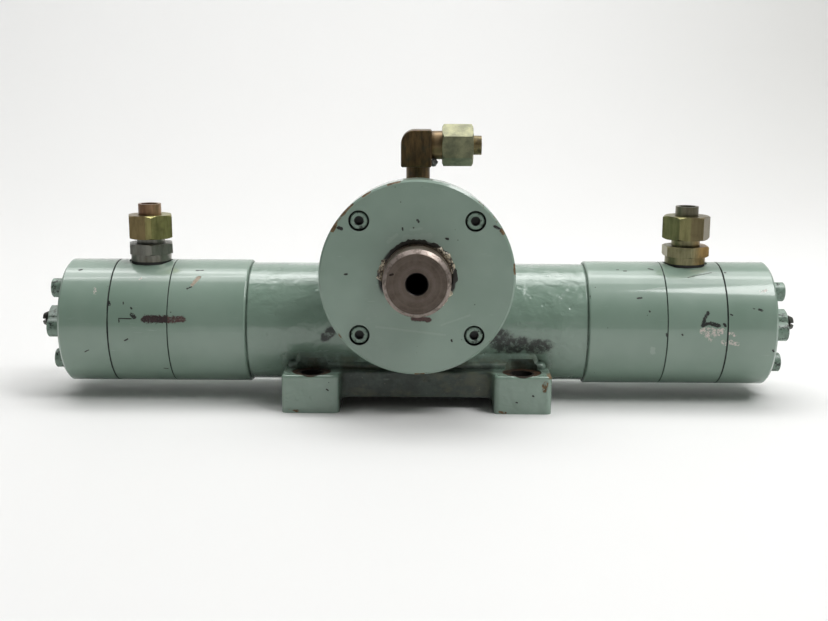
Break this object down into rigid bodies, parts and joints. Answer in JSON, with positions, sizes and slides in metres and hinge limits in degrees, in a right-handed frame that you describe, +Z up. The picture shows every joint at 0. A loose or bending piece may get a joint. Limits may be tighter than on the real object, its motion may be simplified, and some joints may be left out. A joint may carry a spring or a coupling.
{
  "type": "rotary actuator",
  "caption": "Foot-mounted rack-and-pinion rotary actuator: pistons in two long cylinders drive a rack that turns a short output shaft.",
  "frame": {"origin": "middle of the four foot holes, on the mounting plane", "axes": "+X along the cylinders, +Z up, the output shaft points along -Y"},
  "size_m": [0.4016, 0.118, 0.1427],
  "materials": {
    "enamel": "grey-green semi-gloss enamel over cast iron",
    "cover_enamel": "grey-green semi-gloss enamel, smooth",
    "head_enamel": "grey-green gloss enamel on turned steel",
    "bronze": "plain bearing bronze",
    "rubber": "matte black",
    "painted_steel": "fasteners painted over with the body",
    "black_steel": "black oxide, oily",
    "shaft_steel": "turned, worn and greasy",
    "tooth_steel": "ground and oiled",
    "bronzed_steel": "dark, streaked",
    "olive_zinc": "worn olive zinc plating",
    "grey_zinc": "dull zinc plating",
    "tube_steel": "cut tube, dull",
    "ring_steel": "satin",
    "screw_steel": "black oxide, rubbed",
    "piston_steel": "turned",
    "guide_plastic": "woven wear strip"
  },
  "bodies": {
    "housing": {"housing": "enamel", "rack_guide": "bronze", "front_cover": "cover_enamel", "front_cover_seal": "rubber", "front_cover_screws": "painted_steel", "front_bearing": "bronze", "rear_cover": "cover_enamel", "rear_cover_seal": "rubber", "rear_cover_screws": "painted_steel", "rear_bearing": "bronze", "shaft_seal": "rubber", "drain_elbow": "bronzed_steel", "drain_union_nut": "olive_zinc", "drain_cutting_ring": "ring_steel", "drain_tube_stub": "tube_steel", "left_port_union_nut": "olive_zinc", "left_port_cutting_ring": "ring_steel", "left_port_tube_stub": "tube_steel", "left_port_stud": "grey_zinc", "left_port_seal": "rubber", "left_port_head": "head_enamel", "left_head_seal": "rubber", "left_end_cap": "head_enamel", "left_cap_seal": "rubber", "left_bolt_washers": "painted_steel", "left_end_bolts": "painted_steel", "left_stop_seal": "rubber", "left_lock_nut": "painted_steel", "right_port_union_nut": "olive_zinc", "right_port_cutting_ring": "ring_steel", "right_port_tube_stub": "tube_steel", "right_port_stud": "olive_zinc", "right_port_seal": "rubber", "right_port_head": "head_enamel", "right_head_seal": "rubber", "right_end_cap": "head_enamel", "right_cap_seal": "rubber", "right_bolt_washers": "painted_steel", "right_end_bolts": "painted_steel", "right_stop_seal": "rubber", "right_lock_nut": "painted_steel"},
    "pinion": {"pinion_shaft": "shaft_steel"},
    "rack": {"rack": "tooth_steel", "left_piston": "piston_steel", "left_piston_seal": "rubber", "left_guide_ring": "guide_plastic", "left_piston_bolt": "black_steel", "right_piston": "piston_steel", "right_piston_seal": "rubber", "right_guide_ring": "guide_plastic", "right_piston_bolt": "black_steel"},
    "left_stop": {"left_stop_screw": "screw_steel"},
    "right_stop": {"right_stop_screw": "screw_steel"}
  },
  "joints": [
    {"name": "shaft_rotation", "type": "hinge", "parent": "housing", "child": "pinion", "pos_m": [0, 0, 0.07], "axis": [0, -1, 0], "range_deg": [-90, 90]},
    {"name": "rack_slide", "type": "slide", "parent": "housing", "child": "rack", "axis": [1, 0, 0], "range_m": [-0.03142, 0.03142]},
    {"name": "left_stop_adjust", "type": "slide", "parent": "housing", "child": "left_stop", "axis": [-1, 0, 0], "range_m": [0, 0.006]},
    {"name": "right_stop_adjust", "type": "slide", "parent": "housing", "child": "right_stop", "axis": [1, 0, 0], "range_m": [0, 0.006]}
  ],
  "couplings": [
    {"joint": "rack_slide", "follows": "shaft_rotation", "m_per_rad": 0.02}
  ]
}
